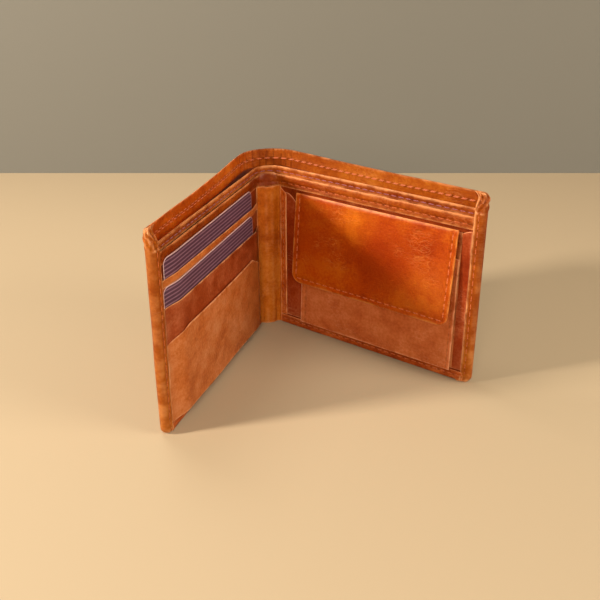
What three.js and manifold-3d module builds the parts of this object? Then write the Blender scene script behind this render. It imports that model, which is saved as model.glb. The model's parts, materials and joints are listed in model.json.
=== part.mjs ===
// A bifold leather wallet with a coin pocket, standing half open on its long lower edges.
// Millimetres, +Z up. The fold's back points along +Y and the wallet opens towards -Y.
// Each leaf is laid out flat in its own frame: u runs from the fold line to the free edge, t runs from the
// inner face (t = 0) out towards the back of the wallet, and z is up. Pockets lie at negative t.
import * as THREE from 'three';
import { mergeVertices } from 'three/addons/utils/BufferGeometryUtils.js';
import Module from 'manifold-3d';

// Driving dimensions
const HEIGHT = 85; // cover, bottom edge to top edge
const LEAF = 104; // fold line to free edge
const SPINE = 10; // distance between the two fold lines
const HALF_ANGLE = THREE.MathUtils.degToRad(36); // each leaf away from the plane of symmetry
const GAP = 0.06; // clearance between sewn layers that lie flat on each other
const CUT = 0.3; // clearance between pieces that meet end to end
const COVER = 1; // cover leather and its glued stiffener
const LEATHER = 0.6; // a panel or band leather
const THIN = 0.45; // a skived pocket leather or a flap layer
const CLOTH = 0.3; // lining cloth
const CARD = 0.6;
const CARD_WIDTH = 85.6;
const CARD_HEIGHT = 54;
const CARD_CORNER = 3.18;

// The cover leans out towards its top, most of all beside the spine
const COVER_START = 3; // where the flat leaf of the cover meets the round spine
const COVER_OUT = 2.9; // outer face at the bottom
const FLARE_SPINE = 4.4; // how much further out the top is at the spine
const FLARE_EDGE = 0.4; // and at the free edge
const COVER_CORNER = 3;
const HEM_DEPTH = 8; // the top edge is turned in this far, and the lining ends under it
const EDGE_ROUND = 1.7; // the fold of the leather round the free edge

// Turned-in borders
const BORDER_FRONT = -1.4;
const BORDER_WIDTH = 4.6;
const BORDER_TOP = 79;
const FOOT_RIGHT = 4.5; // height of the bottom border
const FOOT_LEFT = 3;

// Inner layers
const INNER_TOP = 75; // top of the inner panel and its band
const BAND = 5;
const DIVIDER_T = 0.95;
const DIVIDER_TOP = 78.5;
const BINDING = 4.3;
const BINDING_THICK = 0.8;
const INNER_END = LEAF - COVER - CUT; // where the layers end inside the free edge's fold
const TUCKED_END = INNER_END - 3.5; // where the outermost layers end, under the border

// Left leaf: two card slots and a front pocket
const SLOT_TOPS = [63, 52];
const SLOT_TRIM = 3;
const POCKET_START = 2.2;
const POCKET_END = LEAF - BORDER_WIDTH - CUT;
const CARD_STARTS = [10.9, 12.9];
const CARD_TOPS = [71.6, 60.6];
const FRONT_TOP = 40.4;
const FRONT_SHOULDER_SPINE = 33;
const FRONT_SHOULDER_EDGE = 37.4;
const FRONT_CHAMFER = 15;

// Right leaf: slip pocket, coin pocket and its flap
const STRIP_START = 2.2;
const STRIP_WIDTH = 3.4;
const STRIP_TOP = 68;
const SLIP_TOP = 68;
const SLIP_DIP = 60;
const COIN_START = 15.5;
const COIN_END = 95;
const COIN_FOOT = 5;
const COIN_MOUTH = 56;
const FRONT_T_MOUTH = -1.85; // outer face of the coin pocket's front at its mouth
const FRONT_T_FOOT = -3.6; // and at its foot
const FLAP_START = 12;
const FLAP_END = 93.8;
const FLAP_HINGE_T = -1.75;
const FLAP_HINGE_Z = 68.6;
const FLAP_LENGTH = 42.5;
const FLAP_LEAN = THREE.MathUtils.degToRad(4.9); // lies this far off the pocket when shut
const FLAP_CORNER = 5;
const STUD_DROP = 35.6; // flap hinge to the press stud
const STUD_RADIUS = 4.5;
const POST_RADIUS = 1.9;
const SOCKET_RADIUS = 5;
const SOCKET_HOLE = 2.3;

const wasm = await Module();
wasm.setup();

const leather = (color) => new THREE.MeshStandardMaterial({ color, roughness: 0.42, metalness: 0 });
const cloth = (color) => new THREE.MeshStandardMaterial({ color, roughness: 0.9, metalness: 0 });
const steel = (color) => new THREE.MeshStandardMaterial({ color, roughness: 0.3, metalness: 1 });

function node(name, geometry, material, parent) {
  const mesh = new THREE.Mesh(geometry, material);
  mesh.name = name;
  parent.add(mesh);
  return mesh;
}

// Outlines and the three ways a flat piece is cut out

function roundedOutline(x0, x1, y0, y1, radius) {
  const shape = new THREE.Shape();
  shape.moveTo(x0 + radius, y0);
  shape.lineTo(x1 - radius, y0);
  shape.absarc(x1 - radius, y0 + radius, radius, -Math.PI / 2, 0, false);
  shape.lineTo(x1, y1 - radius);
  shape.absarc(x1 - radius, y1 - radius, radius, 0, Math.PI / 2, false);
  shape.lineTo(x0 + radius, y1);
  shape.absarc(x0 + radius, y1 - radius, radius, Math.PI / 2, Math.PI, false);
  shape.lineTo(x0, y0 + radius);
  shape.absarc(x0 + radius, y0 + radius, radius, Math.PI, Math.PI * 1.5, false);
  return shape;
}

function polygon(points) {
  return new THREE.Shape(points.map(([x, y]) => new THREE.Vector2(x, y)));
}

// An outline seen from the front, in (u, z), with its thickness from t0 out to t1
function sheet(shape, t0, t1) {
  const settings = { depth: t1 - t0, bevelEnabled: false, curveSegments: 6 };
  const geometry = new THREE.ExtrudeGeometry(shape, settings);
  return geometry.rotateX(Math.PI / 2).translate(0, t1, 0);
}

// An outline seen from above, in (u, t), standing from z0 to z1
function upright(shape, z0, z1) {
  const settings = { depth: z1 - z0, bevelEnabled: false, curveSegments: 8 };
  const geometry = new THREE.ExtrudeGeometry(shape, settings);
  return geometry.translate(0, 0, z0);
}

// An outline seen from the end, in (t, z), running along u from u0 to u1
function moulding(shape, u0, u1) {
  const settings = { depth: u1 - u0, bevelEnabled: false, curveSegments: 8 };
  const geometry = new THREE.ExtrudeGeometry(shape, settings);
  const turn = new THREE.Matrix4().makeBasis(
    new THREE.Vector3(0, 1, 0), new THREE.Vector3(0, 0, 1), new THREE.Vector3(1, 0, 0));
  return geometry.applyMatrix4(turn).translate(u0, 0, 0);
}

// A rectangle of the leaf on one side: side is 1 for the right leaf and -1 for the left
function plate(side, u0, u1, t0, t1, z0, z1, radius = 0.8) {
  const [a, b] = side > 0 ? [u0, u1] : [-u1, -u0];
  return sheet(roundedOutline(a, b, z0, z1, radius), t0, t1);
}

function toSolid(geometry) {
  const bare = geometry.clone();
  bare.deleteAttribute('normal');
  bare.deleteAttribute('uv');
  const merged = mergeVertices(bare, 1e-4);
  return new wasm.Manifold(new wasm.Mesh({
    numProp: 3,
    vertProperties: new Float32Array(merged.attributes.position.array),
    triVerts: new Uint32Array(merged.index.array),
  }));
}

function toGeometry(solid) {
  const mesh = solid.getMesh();
  const geometry = new THREE.BufferGeometry();
  geometry.setAttribute('position', new THREE.BufferAttribute(mesh.vertProperties, 3));
  geometry.setIndex(new THREE.BufferAttribute(mesh.triVerts, 1));
  return geometry;
}

function join(...geometries) {
  return toGeometry(geometries.map(toSolid).reduce((whole, piece) => whole.add(piece)));
}

function common(one, other) {
  return toGeometry(toSolid(one).intersect(toSolid(other)));
}

// The wallet and its leaves

const wallet = new THREE.Group();
const spine = new THREE.Group();
wallet.add(spine);
const leaves = {};
for (const [name, side] of [['right', 1], ['left', -1]]) {
  const leaf = new THREE.Group();
  leaf.position.x = (side * SPINE) / 2;
  leaf.rotation.z = -side * (Math.PI / 2 - HALF_ANGLE);
  wallet.add(leaf);
  leaves[name] = leaf;
}

const saddle = () => leather(0xa85a1c);
const lightSaddle = () => leather(0xc07030);
const deepSaddle = () => leather(0x8a3c12);
const plum = () => cloth(0x4a2436);

// Cover: one leather that is turned in along the free edges and the bottom. It leans out to its top.

function leanOut(geometry) {
  const place = geometry.attributes.position;
  for (let i = 0; i < place.count; i += 1) {
    const along = Math.min(1, Math.max(0, Math.abs(place.getX(i)) / LEAF));
    const flare = FLARE_SPINE + (FLARE_EDGE - FLARE_SPINE) * along;
    place.setY(i, place.getY(i) + (flare * place.getZ(i)) / HEIGHT);
  }
  return geometry;
}

// A leaning sheet of the leaf, cut in squares small enough to follow the lean, with rounded corners
function leaningSheet(side, u1, t0, t1, z0, z1, radius) {
  const u0 = COVER_START + CUT / 2;
  const block = new THREE.BoxGeometry(u1 - u0, t1 - t0, z1 - z0, 8, 1, 8);
  block.translate((side * (u0 + u1)) / 2, (t0 + t1) / 2, (z0 + z1) / 2);
  const outline = plate(side, u0 - radius, u1, -1, COVER_OUT + FLARE_SPINE + 1, z0, z1, radius);
  return common(leanOut(block), outline);
}

function leafCover(side, footHeight) {
  const edge = side * LEAF;
  const inside = side * (LEAF - COVER);
  const back = leaningSheet(side, LEAF - COVER / 2, COVER_OUT - COVER, COVER_OUT, 0, HEIGHT, COVER_CORNER);
  const round = new THREE.Shape();
  round.moveTo(side * (LEAF - BORDER_WIDTH), BORDER_FRONT);
  round.lineTo(side * (LEAF - EDGE_ROUND), BORDER_FRONT);
  round.quadraticCurveTo(edge, BORDER_FRONT, edge, BORDER_FRONT + EDGE_ROUND);
  round.lineTo(edge, COVER_OUT - EDGE_ROUND);
  round.quadraticCurveTo(edge, COVER_OUT, side * (LEAF - EDGE_ROUND), COVER_OUT);
  round.lineTo(side * (LEAF - EDGE_ROUND), COVER_OUT - COVER);
  round.lineTo(inside, COVER_OUT - COVER - LEATHER);
  round.lineTo(inside, BORDER_FRONT + LEATHER);
  round.lineTo(side * (LEAF - BORDER_WIDTH), BORDER_FRONT + LEATHER);
  const turnedEdge = upright(round, 0, BORDER_TOP);
  const soleStart = side * (COVER_START + CUT / 2);
  const [soleFront, soleBack] = [BORDER_FRONT + 0.4, COVER_OUT - 0.4];
  const sole = upright(polygon([
    [soleStart, soleFront], [inside, soleFront], [inside, soleBack], [soleStart, soleBack]]), 0, LEATHER);
  const foot = plate(
    side, STRIP_START, LEAF - COVER, BORDER_FRONT, BORDER_FRONT + LEATHER, 0, footHeight, 0.3);
  return join(back, turnedEdge, sole, foot);
}

node('cover_right', leafCover(1, FOOT_RIGHT), saddle(), leaves.right);
node('cover_left', leafCover(-1, FOOT_LEFT), saddle(), leaves.left);

// Spine of the cover: a cone whose axis is where the two leaves' normals at COVER_START meet

const spineReach = (COVER_START * Math.sin(HALF_ANGLE) + SPINE / 2) / Math.cos(HALF_ANGLE);
const spineAxisY = -COVER_START * Math.cos(HALF_ANGLE) - spineReach * Math.sin(HALF_ANGLE);

// Part of a ring round the spine's axis, t0 to t1 out from the leaves' inner faces, growing towards the top
function spineArc(t0, t1, z0, z1) {
  const turn = Math.PI / 2 - HALF_ANGLE - CUT / 2 / (spineReach + t0);
  const ring = new THREE.Shape();
  ring.absarc(0, 0, spineReach + t1, Math.PI / 2 - turn, Math.PI / 2 + turn, false);
  ring.absarc(0, 0, spineReach + t0, Math.PI / 2 + turn, Math.PI / 2 - turn, true);
  const settings = { depth: z1 - z0, bevelEnabled: false, curveSegments: 20 };
  const geometry = new THREE.ExtrudeGeometry(ring, settings);
  geometry.translate(0, 0, z0);
  const place = geometry.attributes.position;
  for (let i = 0; i < place.count; i += 1) {
    const radius = Math.hypot(place.getX(i), place.getY(i));
    const growth = 1 + (FLARE_SPINE * place.getZ(i)) / HEIGHT / radius;
    place.setXY(i, place.getX(i) * growth, place.getY(i) * growth);
  }
  return geometry.translate(0, spineAxisY, 0);
}

node('cover_spine', spineArc(COVER_OUT - COVER, COVER_OUT, 0, HEIGHT), saddle(), spine);

// Lining of the note compartment, inside the cover

const LINING_T = COVER_OUT - COVER - GAP - CLOTH;
const LINING_TOP = HEIGHT - HEM_DEPTH;
for (const [name, side] of [['right', 1], ['left', -1]]) {
  const lining = leaningSheet(
    side, INNER_END - 2, LINING_T, LINING_T + CLOTH, LEATHER + GAP, LINING_TOP, 1);
  node(`bill_lining_${name}`, lining, plum(), leaves[name]);
}
const spineLining = spineArc(LINING_T, LINING_T + CLOTH, LEATHER + GAP, LINING_TOP);
node('bill_lining_spine', spineLining, plum(), spine);

// Inner panels that carry the pockets, and the strip that covers the fold between them

for (const [name, side] of [['right', 1], ['left', -1]]) {
  const panel = plate(side, CUT, INNER_END, 0, LEATHER, LEATHER + GAP, INNER_TOP - 0.5);
  node(`inner_panel_${name}`, panel, deepSaddle(), leaves[name]);
}

const HALF_STRIP = SPINE / 2 - CUT;
const STRIP_BULGE = 1.6;
const stripOutline = new THREE.Shape();
stripOutline.moveTo(-HALF_STRIP, 0);
stripOutline.quadraticCurveTo(0, -STRIP_BULGE, HALF_STRIP, 0);
stripOutline.lineTo(HALF_STRIP, LEATHER);
stripOutline.quadraticCurveTo(0, LEATHER - STRIP_BULGE, -HALF_STRIP, LEATHER);
node('spine_strip', upright(stripOutline, 0, INNER_TOP - BAND - CUT), lightSaddle(), spine);

// Band along the top of the inner panel, with a round upper fold, in three lengths

function bandOutline(front, back, bottom, top) {
  const thick = back - front;
  const shape = new THREE.Shape();
  shape.moveTo(front, bottom);
  shape.lineTo(back, bottom);
  shape.lineTo(back, top - thick / 2);
  shape.absarc((front + back) / 2, top - thick / 2, thick / 2, 0, Math.PI, false);
  return shape;
}

const bandSection = bandOutline(-GAP - LEATHER, -GAP, INNER_TOP - BAND, INNER_TOP);
node('top_band_right', moulding(bandSection, STRIP_START, TUCKED_END), saddle(), leaves.right);
node('top_band_left', moulding(bandSection, -TUCKED_END, -STRIP_START), saddle(), leaves.left);
const foldBand = bandOutline(-LEATHER, 0.2, INNER_TOP - BAND, INNER_TOP);
node('top_band_spine', moulding(foldBand, -HALF_STRIP, HALF_STRIP), saddle(), spine);

// Divider of the note compartment: lining cloth with a leather binding on its top edge

const bindingFront = DIVIDER_T + (CLOTH - BINDING_THICK) / 2;
const bindingSection = bandOutline(
  bindingFront, bindingFront + BINDING_THICK, DIVIDER_TOP - BINDING, DIVIDER_TOP);
const dividerRuns = [
  ['right', CUT, INNER_END, leaves.right],
  ['left', -INNER_END, -CUT, leaves.left],
  ['spine', -HALF_STRIP, HALF_STRIP, spine],
];
for (const [name, from, to, parent] of dividerRuns) {
  const outline = roundedOutline(from, to, LEATHER + GAP, DIVIDER_TOP - BINDING - CUT, 0.4);
  node(`divider_${name}`, sheet(outline, DIVIDER_T, DIVIDER_T + CLOTH), plum(), parent);
  node(`divider_binding_${name}`, moulding(bindingSection, from, to), lightSaddle(), parent);
}

// Left leaf: cards stand in two slots, each slot a cloth-backed pocket with a leather top edge

let face = -GAP - LEATHER - GAP;
['upper', 'lower'].forEach((name, i) => {
  const cardBottom = CARD_TOPS[i] - CARD_HEIGHT;
  const cardEnd = -CARD_STARTS[i];
  const outline = roundedOutline(
    cardEnd - CARD_WIDTH, cardEnd, cardBottom, CARD_TOPS[i], CARD_CORNER);
  node(`card_${name}`, sheet(outline, face - CARD, face), cloth(0x5a3246), leaves.left);
  face -= CARD + GAP;
  const top = SLOT_TOPS[i];
  const pocketTop = top - SLOT_TRIM - CUT;
  const pocket = plate(
    -1, POCKET_START, POCKET_END, face - THIN, face, FOOT_LEFT + CUT, pocketTop, 0.3);
  node(`card_pocket_${name}`, pocket, deepSaddle(), leaves.left);
  const trim = bandOutline(face - THIN, face, top - SLOT_TRIM, top);
  node(`card_pocket_${name}_trim`, moulding(trim, -POCKET_END, -POCKET_START), lightSaddle(), leaves.left);
  face -= THIN + GAP;
});

const frontMouth = polygon([
  [-POCKET_START, FOOT_LEFT + CUT], [-POCKET_START, FRONT_SHOULDER_SPINE],
  [-POCKET_START - FRONT_CHAMFER, FRONT_TOP], [-POCKET_END + FRONT_CHAMFER, FRONT_TOP],
  [-POCKET_END, FRONT_SHOULDER_EDGE], [-POCKET_END, FOOT_LEFT + CUT]]);
node('front_pocket', sheet(frontMouth, face - LEATHER, face), saddle(), leaves.left);

// Right leaf: the slip pocket's panel with a mouth that dips in the middle, and the strip sewn beside the fold

const slipMouth = polygon([
  [STRIP_START, FOOT_RIGHT + CUT], [TUCKED_END, FOOT_RIGHT + CUT], [TUCKED_END, SLIP_TOP],
  [POCKET_END - 14, SLIP_DIP], [STRIP_START + STRIP_WIDTH + 9, SLIP_DIP],
  [STRIP_START + STRIP_WIDTH, SLIP_TOP - 1], [STRIP_START, SLIP_TOP - 1]]);
const SLIP_FACE = -GAP - THIN;
node('slip_pocket', sheet(slipMouth, SLIP_FACE, -GAP), deepSaddle(), leaves.right);
const stripBack = SLIP_FACE - GAP;
const sideStrip = plate(1, STRIP_START, STRIP_START + STRIP_WIDTH,
  stripBack - LEATHER, stripBack, FOOT_RIGHT + CUT, STRIP_TOP, 0.4);
node('fold_side_strip', sideStrip, saddle(), leaves.right);

// Coin pocket: back, gusset on three sides, front that is thickest at its foot

const coinBackFace = SLIP_FACE - GAP - THIN;
const coinBack = plate(1, COIN_START, COIN_END, coinBackFace, coinBackFace + THIN,
  COIN_FOOT, FLAP_HINGE_Z - 0.9);
node('coin_pocket_back', coinBack, deepSaddle(), leaves.right);

// Depth of the front's outer face at a height, on the straight line from its foot to its mouth
function frontFace(z) {
  return THREE.MathUtils.mapLinear(z, COIN_FOOT, COIN_MOUTH, FRONT_T_FOOT, FRONT_T_MOUTH);
}

const coinFront = polygon([
  [FRONT_T_FOOT, COIN_FOOT], [FRONT_T_FOOT + LEATHER, COIN_FOOT],
  [FRONT_T_MOUTH + LEATHER, COIN_MOUTH], [FRONT_T_MOUTH, COIN_MOUTH]]);
node('coin_pocket_front', moulding(coinFront, COIN_START, COIN_END), saddle(), leaves.right);

const GUSSET_TOP = 50;
const GUSSET = 0.6;
// Inner face of the front at a height, less the clearance
const gussetFront = (z) => frontFace(z) + LEATHER + GAP;
const gussetBack = coinBackFace - GAP;
const gussetFoot = COIN_FOOT + 1;
const gussetSide = polygon([
  [gussetBack, gussetFoot], [gussetFront(gussetFoot), gussetFoot],
  [gussetFront(GUSSET_TOP), GUSSET_TOP], [gussetBack, GUSSET_TOP]]);
const gussetStarts = { left: COIN_START + CUT, right: COIN_END - CUT - GUSSET };
for (const [name, start] of Object.entries(gussetStarts)) {
  node(`coin_gusset_${name}`, moulding(gussetSide, start, start + GUSSET), deepSaddle(), leaves.right);
}
const [baseBottom, baseTop] = [COIN_FOOT + 0.1, COIN_FOOT + 0.1 + GUSSET];
const gussetBase = polygon([
  [gussetBack, baseBottom], [gussetFront(COIN_FOOT), baseBottom],
  [gussetFront(COIN_FOOT), baseTop], [gussetBack, baseTop]]);
const base = moulding(gussetBase, COIN_START + 2 * GUSSET, COIN_END - 2 * GUSSET);
node('coin_gusset_base', base, deepSaddle(), leaves.right);

// Flap: an outer leather and an inner leather, hinged on the fold at its top. Its frame hangs from the hinge.

const flap = new THREE.Group();
flap.position.set(0, FLAP_HINGE_T, FLAP_HINGE_Z);
flap.rotation.x = -FLAP_LEAN;
leaves.right.add(flap);

function flapOutline(inset) {
  const [u0, u1] = [FLAP_START + inset, FLAP_END - inset];
  const [bottom, corner] = [inset - FLAP_LENGTH, FLAP_CORNER - inset];
  const shape = new THREE.Shape();
  shape.moveTo(u0, -inset);
  shape.lineTo(u0, bottom + corner);
  shape.absarc(u0 + corner, bottom + corner, corner, Math.PI, Math.PI * 1.5, false);
  shape.lineTo(u1 - corner, bottom);
  shape.absarc(u1 - corner, bottom + corner, corner, -Math.PI / 2, 0, false);
  shape.lineTo(u1, -inset);
  return shape;
}

node('flap_leather', sheet(flapOutline(0), -THIN - GAP / 2, -GAP / 2), lightSaddle(), flap);
node('flap_lining', sheet(flapOutline(0.5), GAP / 2, THIN + GAP / 2), deepSaddle(), flap);

// Press stud: the stud on the pocket's front, the socket on the flap's lining

function turned(profile, segments = 24) {
  return new THREE.LatheGeometry(profile.map(([x, y]) => new THREE.Vector2(x, y)), segments);
}

const studU = (FLAP_START + FLAP_END) / 2;
const socket = turned([
  [SOCKET_HOLE, 0], [SOCKET_RADIUS, 0], [SOCKET_RADIUS, 0.35], [SOCKET_RADIUS - 0.4, 0.6],
  [SOCKET_HOLE, 0.6], [SOCKET_HOLE, 0]]);
const socketNode = node('snap_socket', socket, steel(0xb08d57), flap);
socketNode.position.set(studU, THIN + GAP / 2 + GAP, -STUD_DROP);

const studHeight = FLAP_HINGE_Z - STUD_DROP * Math.cos(FLAP_LEAN);
const frontLean = Math.atan2(FRONT_T_MOUTH - FRONT_T_FOOT, COIN_MOUTH - COIN_FOOT);
const stud = turned([
  [0, 0], [STUD_RADIUS, 0], [STUD_RADIUS, 0.25], [POST_RADIUS - 0.2, 0.35], [POST_RADIUS, 0.7],
  [POST_RADIUS - 0.3, 0.95], [0, 0.95]]);
const studNode = node('snap_stud', stud, steel(0xb08d57), leaves.right);
studNode.position.set(studU, frontFace(studHeight) - 0.08, studHeight);
studNode.rotation.x = Math.PI - frontLean;
const washer = turned([[0, 0], [STUD_RADIUS, 0], [STUD_RADIUS, 0.3], [0, 0.3]]);
const washerNode = node('snap_washer', washer, steel(0xb08d57), leaves.right);
washerNode.position.set(studU, frontFace(studHeight) + LEATHER + 0.08, studHeight);
washerNode.rotation.x = -frontLean;

// The origin is on the ground under the middle of the wallet's box

const box = new THREE.Box3().setFromObject(wallet);
wallet.position.set(-(box.min.x + box.max.x) / 2, -(box.min.y + box.max.y) / 2, 0);

export default wallet;
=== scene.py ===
# A bifold leather wallet with a coin pocket, standing half open on its long lower edges.
import json
import math

import bmesh
import bpy
from mathutils import Matrix, Vector, noise


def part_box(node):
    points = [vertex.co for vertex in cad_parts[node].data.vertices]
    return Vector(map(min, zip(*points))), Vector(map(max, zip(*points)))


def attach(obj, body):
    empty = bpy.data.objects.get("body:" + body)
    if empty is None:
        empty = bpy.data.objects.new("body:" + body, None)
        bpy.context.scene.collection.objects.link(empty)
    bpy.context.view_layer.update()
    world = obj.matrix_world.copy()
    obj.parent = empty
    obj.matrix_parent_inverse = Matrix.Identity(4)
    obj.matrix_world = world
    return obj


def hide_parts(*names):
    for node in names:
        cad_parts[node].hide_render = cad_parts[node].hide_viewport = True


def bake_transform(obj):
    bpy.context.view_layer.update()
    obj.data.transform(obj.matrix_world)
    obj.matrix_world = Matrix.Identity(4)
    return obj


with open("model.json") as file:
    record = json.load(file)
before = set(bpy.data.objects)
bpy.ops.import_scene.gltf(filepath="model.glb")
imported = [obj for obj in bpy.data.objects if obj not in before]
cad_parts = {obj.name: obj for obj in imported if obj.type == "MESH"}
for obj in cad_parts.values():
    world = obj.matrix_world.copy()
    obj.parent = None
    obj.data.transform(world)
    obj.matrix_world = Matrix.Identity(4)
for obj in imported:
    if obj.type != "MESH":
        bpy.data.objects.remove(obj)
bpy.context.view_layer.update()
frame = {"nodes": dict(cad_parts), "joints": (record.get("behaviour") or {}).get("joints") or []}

# The camera stands in front of the open wallet, a little to its left, and looks down into the fold.
# Lengths in this file are millimetres; MM turns them into the frame's metres.
MM = 0.001
joints = {joint["name"]: joint for joint in frame["joints"]}
right_fold, left_fold = (Vector(joints[name]["pos_m"]) for name in ("right_fold", "left_fold"))
spine_middle = (right_fold + left_fold) / 2

CAMERA_FROM_FOLD = Vector((-100.65, -367.7, 191.4))
CAMERA_TURN = 17.55
CAMERA_TILT = 25.3
camera = bpy.data.objects.new("camera", bpy.data.cameras.new("camera"))
camera.data.lens, camera.data.sensor_width = 51.6, 36
camera.data.clip_start = 0.02
camera.location = spine_middle + CAMERA_FROM_FOLD * MM
camera.rotation_euler = (math.radians(90 - CAMERA_TILT), 0, -math.radians(CAMERA_TURN))
bpy.context.scene.collection.objects.link(camera)
bpy.context.scene.camera = camera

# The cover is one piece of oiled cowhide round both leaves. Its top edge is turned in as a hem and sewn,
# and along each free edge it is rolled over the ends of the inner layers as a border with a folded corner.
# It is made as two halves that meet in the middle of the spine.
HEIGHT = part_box("cover_right")[1].z / MM
COVER = 1.0
COVER_BACK = 2.9
BORDER = 0.76
HEM_DEPTH = 8.6
HEM_LINE = HEIGHT - 4.4
LEDGE = HEIGHT - HEM_DEPTH
HEM = 0.45
START = 3
CORNER = 3
PITCH = 3.6
STITCH_SHARE = 0.74
STITCH_SINK = 0.03


class Leaf:
    """A leaf laid flat: u from its fold line to its free edge, t from its inner face back, z up."""

    def __init__(self, body, fold, along, out):
        self.body, self.fold, self.along, self.out = body, fold, Vector(along), Vector(out)
        self.side = 1 if self.along.x > 0 else -1

    def at(self, u, t, z):
        return self.fold + (self.along * u + self.out * t + Vector((0, 0, z))) * MM

    def span(self, node):
        """The ranges of u, t and z that a part of the frame takes up on this leaf."""
        places = [(v.co - self.fold) / MM for v in frame["nodes"][node].data.vertices]
        measured = zip(*((p.dot(self.along), p.dot(self.out), p.z) for p in places))
        return [(min(m), max(m)) for m in measured]


hinge_x, hinge_y, _ = joints["coin_flap_hinge"]["axis"]
right = Leaf("leaf_right", right_fold, (-hinge_x, -hinge_y, 0), (hinge_y, -hinge_x, 0))
left = Leaf("leaf_left", left_fold, (hinge_x, -hinge_y, 0), (-hinge_y, -hinge_x, 0))
leaves = {"right": right, "left": left}
HALVES = ((right, ("right", "spine")), (left, ("left",)))
HALF_SPINE = right_fold.x / MM
LEAF = right.span("cover_right")[0][1]
BORDER_FRONT = right.span("cover_right")[1][0]
TURN = math.atan2(right.out.x, right.out.y)
REACH = (START * right.along.x + HALF_SPINE) / -right.along.y
FLARE = right.span("cover_right")[1][1] - COVER_BACK + 0.12
SPINE_RUN = (REACH + COVER_BACK + FLARE / 2) * TURN


def ease(x, a, b):
    """0 at a, 1 at b, smooth between."""
    share = min(1, max(0, (x - a) / (b - a)))
    return share * share * (3 - 2 * share)


def mix(a, b, share):
    return a + (b - a) * share


def value(thing, *place):
    return thing(*place) if callable(thing) else thing


def spaced(low, high, step, edge=(0, 0.1, 0.25, 0.5)):
    """Stations from low to high, close together at both ends and about a step apart between."""
    inner = high - low - 2 * edge[-1]
    count = max(2, round(inner / step))
    middle = [low + edge[-1] + inner * i / count for i in range(count + 1)]
    return [low + e for e in edge[:-1]] + middle + [high - e for e in reversed(edge[:-1])]


FINE_EDGE = (0, 0.06, 0.16, 0.3)


def new_piece(name, bm, sharp=50):
    bmesh.ops.recalc_face_normals(bm, faces=bm.faces)
    mesh = bpy.data.meshes.new(name)
    bm.to_mesh(mesh)
    bm.free()
    mesh.polygons.foreach_set("use_smooth", [True] * len(mesh.polygons))
    mesh.set_sharp_from_angle(angle=math.radians(sharp))
    piece = bpy.data.objects.new(name, mesh)
    bpy.context.scene.collection.objects.link(piece)
    return piece


def sheet(name, place, across, up, low, high, front, back, rim=0.35, joined=False, worn_lit_width=0.8, wear_light_shade=0,
          side=1):
    """A closed sheet of leather or cloth, with round edges. across are its stations along u. up are its
    stations from low to high, both of which may change along u, as front and back may over u and z.
    place(u, t, z) is where a point lies. joined leaves the first end square. The edge width says how wide
    the pale edges are, partly pull-up paling and partly a painted highlight, and the added values bring
    more paling, painted highlights and painted shade. side is -1 on a left half, so that the hide goes on
    over the middle."""
    bm = bmesh.new()
    columns, rows = len(across) - 1, len(up) - 1
    bmesh.ops.create_grid(bm, x_segments=columns, y_segments=rows, size=0.5)
    column, row = bm.verts.layers.int.new("column"), bm.verts.layers.int.new("row")
    for v in bm.verts:
        v[column], v[row] = round((v.co.x + 0.5) * columns), round((v.co.y + 0.5) * rows)
    extruded = bmesh.ops.extrude_face_region(bm, geom=bm.faces[:])
    behind = {v for v in extruded["geom"] if isinstance(v, bmesh.types.BMVert)}
    rub_light_shade = bm.verts.layers.float.new("wear_light_shade")
    uv = bm.loops.layers.uv.new("UVMap")
    flat = {}
    for v in bm.verts:
        u = across[v[column]]
        bottom, top = value(low, u), value(high, u)
        z = bottom + (top - bottom) * (up[v[row]] - up[0]) / (up[-1] - up[0])
        gap = max(0, min(across[-1] - u, z - bottom, top - z, 99 if joined else u - across[0]))
        round_off = max(0.12, math.sqrt(1 - (1 - min(gap / rim, 1)) ** 2))
        t_front, t_back = value(front, u, z), value(back, u, z)
        half = (t_back - t_front) / 2 * round_off
        v.co = place(u, (t_front + t_back) / 2 + (half if v in behind else -half), z)
        # The layer holds pale edges, partly pull-up paling and partly a painted highlight, plus the added
        # painted light and shade.
        v[rub_light_shade] = max(-1, min(1, math.exp(-((gap / worn_lit_width) ** 2)) + value(wear_light_shade, u, z)))
        flat[v] = (side * u / 100, z / 100)
    for face in bm.faces:
        for loop in face.loops:
            loop[uv].uv = flat[loop.vert]
    return new_piece(name, bm)


def seam(name, place, run, spread=0.25):
    """A row of stitches. place(a) is a point on the leather and the way out of it, for each a within run."""
    bm = bmesh.new()
    bm.loops.layers.uv.new("UVMap")
    count = max(1, round((run[1] - run[0]) / PITCH))
    for i in range(count):
        a = mix(run[0], run[1], (i + 0.5) / count)
        step = (run[1] - run[0]) / count * STITCH_SHARE / 2
        start, end = place(a - step)[0], place(a + step)[0]
        centre, outward = place(a)
        forward = (end - start).normalized()
        sideways = outward.cross(forward).normalized()
        turn = Matrix((forward, sideways, forward.cross(sideways))).transposed().to_4x4()
        size = Matrix.Diagonal(((end - start).length / 2, spread * MM, spread * MM * 0.9, 1))
        middle = Matrix.Translation(centre - outward.normalized() * STITCH_SINK * MM)
        quarter = Matrix.Rotation(math.pi / 2, 4, "Y")
        bmesh.ops.create_uvsphere(bm, u_segments=8, v_segments=6, radius=1, calc_uvs=True,
                                  matrix=middle @ turn @ size @ quarter)
    return new_piece(name, bm, 180)


def on_leaf(leaf, line, front, proud=0):
    """Where a seam lies on a leaf: line(a) gives u and z, and front the leather's front face."""
    def place(a):
        u, z = line(a)
        return leaf.at(u, value(front, u, z) - proud, z), -leaf.out
    return place


def groove(distance, depth=0.2, width=0.75):
    """How far a seam pulls the leather in, at a distance from it."""
    return depth * math.exp(-((distance / width) ** 2))


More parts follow.
